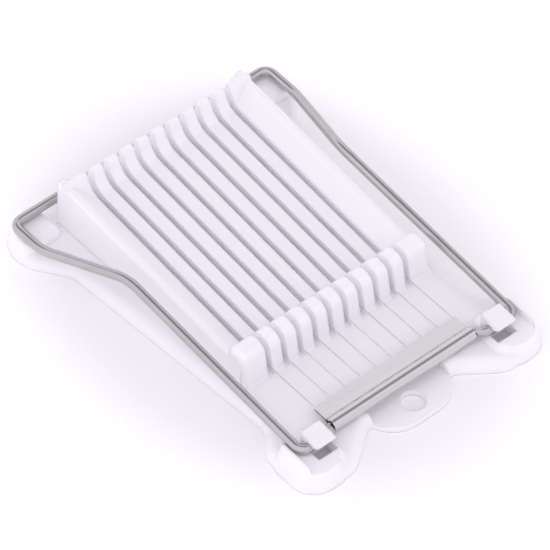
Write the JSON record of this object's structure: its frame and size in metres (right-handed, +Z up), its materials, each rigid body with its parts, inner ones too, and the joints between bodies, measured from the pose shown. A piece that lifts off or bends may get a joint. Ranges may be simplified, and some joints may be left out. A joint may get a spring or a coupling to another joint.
{
  "type": "egg slicer",
  "caption": "White moulded base with a sloping ribbed tray between two slotted combs, and a hinged bent-rod steel frame strung with parallel cutting wires between two folded strips.",
  "frame": {"origin": "under the middle of the object, on the surface that it stands on", "axes": "+X to the right seen from the hinge end, +Y from the hinge end to the handle end, +Z up"},
  "size_m": [0.1528, 0.201, 0.0322],
  "materials": {
    "moulding": "glossy white moulded plastic",
    "rod": "polished stainless rod",
    "strip": "bright rolled stainless sheet",
    "wire": "drawn stainless wire"
  },
  "bodies": {
    "base": {"base_moulding": "moulding"},
    "cutter": {"wire_frame": "rod", "hinge_strip": "strip", "handle_strip": "strip", "cutting_wire_01": "wire", "cutting_wire_02": "wire", "cutting_wire_03": "wire", "cutting_wire_04": "wire", "cutting_wire_05": "wire", "cutting_wire_06": "wire", "cutting_wire_07": "wire", "cutting_wire_08": "wire", "cutting_wire_09": "wire", "cutting_wire_10": "wire", "hinge_bead_01": "wire", "hinge_bead_02": "wire", "hinge_bead_03": "wire", "hinge_bead_04": "wire", "hinge_bead_05": "wire", "hinge_bead_06": "wire", "hinge_bead_07": "wire", "hinge_bead_08": "wire", "hinge_bead_09": "wire", "hinge_bead_10": "wire", "handle_bead_01": "wire", "handle_bead_02": "wire", "handle_bead_03": "wire", "handle_bead_04": "wire", "handle_bead_05": "wire", "handle_bead_06": "wire", "handle_bead_07": "wire", "handle_bead_08": "wire", "handle_bead_09": "wire", "handle_bead_10": "wire"}
  },
  "joints": [
    {"name": "frame_hinge", "type": "hinge", "parent": "base", "child": "cutter", "pos_m": [0, -0.0846, 0.0122], "axis": [1, 0, 0], "range_deg": [0, 105]}
  ]
}
